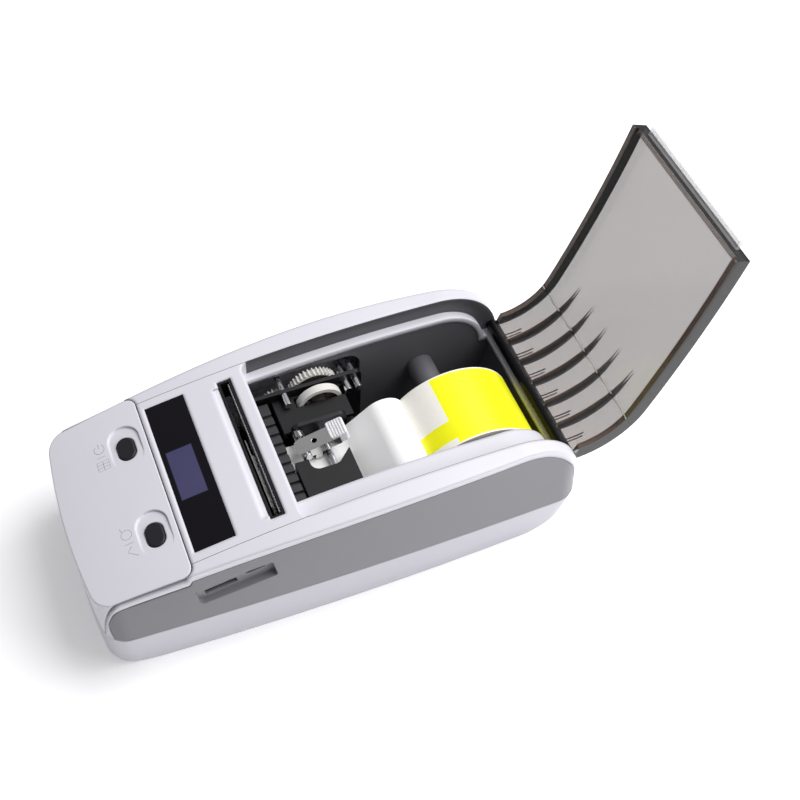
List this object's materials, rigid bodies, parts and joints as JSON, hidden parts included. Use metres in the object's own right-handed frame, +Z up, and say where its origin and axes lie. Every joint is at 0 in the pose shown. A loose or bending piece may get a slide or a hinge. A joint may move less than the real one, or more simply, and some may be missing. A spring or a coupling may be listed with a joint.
{
  "type": "label printer",
  "caption": "Portable label printer, smoked lid open: label roll, print head and rollers, gear train, lever, two push-buttons, strip display and battery.",
  "frame": {"origin": "middle of the underside, on the plane the printer stands on, halfway between its two flanks", "axes": "+Y from the rounded nose to the lid hinge, +X towards the flank with the sockets, +Z up"},
  "size_m": [0.087, 0.2206, 0.1267],
  "materials": {
    "shell_white": "fine satin",
    "panel_grey": "fine satin",
    "button_plastic": "satin, slightly glossy",
    "display_black": "high gloss",
    "screen": "glossy",
    "smoke_clear": "clear, polished",
    "clear_plastic": "clear, polished",
    "liner_grey": "fine matt",
    "black_plastic": "satin",
    "label_yellow": "satin paper",
    "paper_white": "matt paper",
    "cardboard": "matt",
    "steel": "bright, fine grain",
    "dark_steel": "satin black",
    "copper": "turned",
    "brass": "turned",
    "aluminium": "machined",
    "rubber_black": "matt, ground",
    "gear_white": "smooth nylon",
    "gear_black": "smooth",
    "board_green": "lacquered",
    "battery_wrap": "shrink film",
    "ceramic": "fired, fine"
  },
  "bodies": {
    "body": {"base_shell": "shell_white", "battery_pack": "battery_wrap", "case_screws": "steel", "compartment_liner": "liner_grey", "cover_plate": "black_plastic", "display_lens": "display_black", "front_cover": "shell_white", "gear_pins": "steel", "guide_rod": "steel", "head_springs": "steel", "heat_sink": "aluminium", "hinge_pins": "steel", "label_guide": "black_plastic", "label_web": "paper_white", "left_side_panel": "panel_grey", "lever_pin": "steel", "lever_spring": "steel", "main_board": "board_green", "mechanism_frame": "dark_steel", "oled_module": "screen", "platen_bushes": "black_plastic", "print_head": "ceramic", "right_side_panel": "panel_grey", "roll_spindle": "black_plastic", "rubber_pads": "rubber_black", "slot_bezel": "black_plastic", "stepper_motor": "steel", "tact_switches": "black_plastic", "tear_blade": "steel", "tie_rods": "steel", "top_shell": "shell_white", "usb_socket": "steel", "wide_socket": "steel"},
    "lid": {"lid": "smoke_clear", "lid_tongue": "clear_plastic"},
    "power_button": {"power_button": "button_plastic"},
    "query_button": {"query_button": "button_plastic"},
    "lever": {"head_lever": "steel", "lever_knob": "gear_white", "pinch_pin": "steel"},
    "pinch": {"pinch_roller": "rubber_black"},
    "roll": {"label_roll": "label_yellow", "roll_core": "cardboard"},
    "guide": {"roll_guide": "black_plastic"},
    "platen": {"platen_roller": "rubber_black", "platen_shaft": "steel", "platen_gear": "gear_white"},
    "idler": {"idler_gear": "gear_white"},
    "drive": {"drive_shaft": "steel", "drive_gear": "gear_white", "feed_wheel": "gear_white"},
    "reduction": {"reduction_gear": "gear_white"},
    "pinion": {"motor_pinion": "brass", "motor_shaft": "steel"}
  },
  "joints": [
    {"name": "lid_hinge", "type": "hinge", "parent": "body", "child": "lid", "pos_m": [0, 0.0854, 0.038], "axis": [1, 0, 0], "range_deg": [0, 109]},
    {"name": "power_press", "type": "slide", "parent": "body", "child": "power_button", "axis": [0, 0.2128, -0.9771], "range_m": [0, 0.0008], "stiffness_N_per_m": 900, "springref_m": -0.0004},
    {"name": "query_press", "type": "slide", "parent": "body", "child": "query_button", "axis": [0, 0.2128, -0.9771], "range_m": [0, 0.0008], "stiffness_N_per_m": 900, "springref_m": -0.0004},
    {"name": "lever_tilt", "type": "hinge", "parent": "body", "child": "lever", "pos_m": [0, -0.0024, 0.044], "axis": [1, 0, 0], "range_deg": [0, 15], "stiffness_Nm_per_rad": 0.02, "springref_deg": -20.05},
    {"name": "pinch_spin", "type": "hinge", "parent": "lever", "child": "pinch", "pos_m": [0, 0.0022, 0.04135], "axis": [1, 0, 0], "continuous": true},
    {"name": "roll_spin", "type": "hinge", "parent": "body", "child": "roll", "pos_m": [0, 0.05475, 0.0296], "axis": [1, 0, 0], "continuous": true},
    {"name": "guide_slide", "type": "slide", "parent": "body", "child": "guide", "axis": [-1, 0, 0], "range_m": [0, 0.014]},
    {"name": "platen_spin", "type": "hinge", "parent": "body", "child": "platen", "pos_m": [0, -0.0125, 0.0315], "axis": [1, 0, 0], "continuous": true},
    {"name": "idler_spin", "type": "hinge", "parent": "body", "child": "idler", "pos_m": [0, -0.00341, 0.03769], "axis": [1, 0, 0], "continuous": true},
    {"name": "drive_spin", "type": "hinge", "parent": "body", "child": "drive", "pos_m": [0, 0.0105, 0.0393], "axis": [1, 0, 0], "continuous": true},
    {"name": "reduction_spin", "type": "hinge", "parent": "body", "child": "reduction", "pos_m": [0, 0.0185, 0.02544], "axis": [1, 0, 0], "continuous": true},
    {"name": "pinion_spin", "type": "hinge", "parent": "body", "child": "pinion", "pos_m": [0, 0.00984, 0.02044], "axis": [1, 0, 0], "continuous": true}
  ],
  "couplings": [
    {"joint": "idler_spin", "follows": "platen_spin", "ratio": -1.2},
    {"joint": "drive_spin", "follows": "platen_spin", "ratio": 0.66667},
    {"joint": "reduction_spin", "follows": "platen_spin", "ratio": -0.85714},
    {"joint": "pinion_spin", "follows": "platen_spin", "ratio": 2}
  ]
}
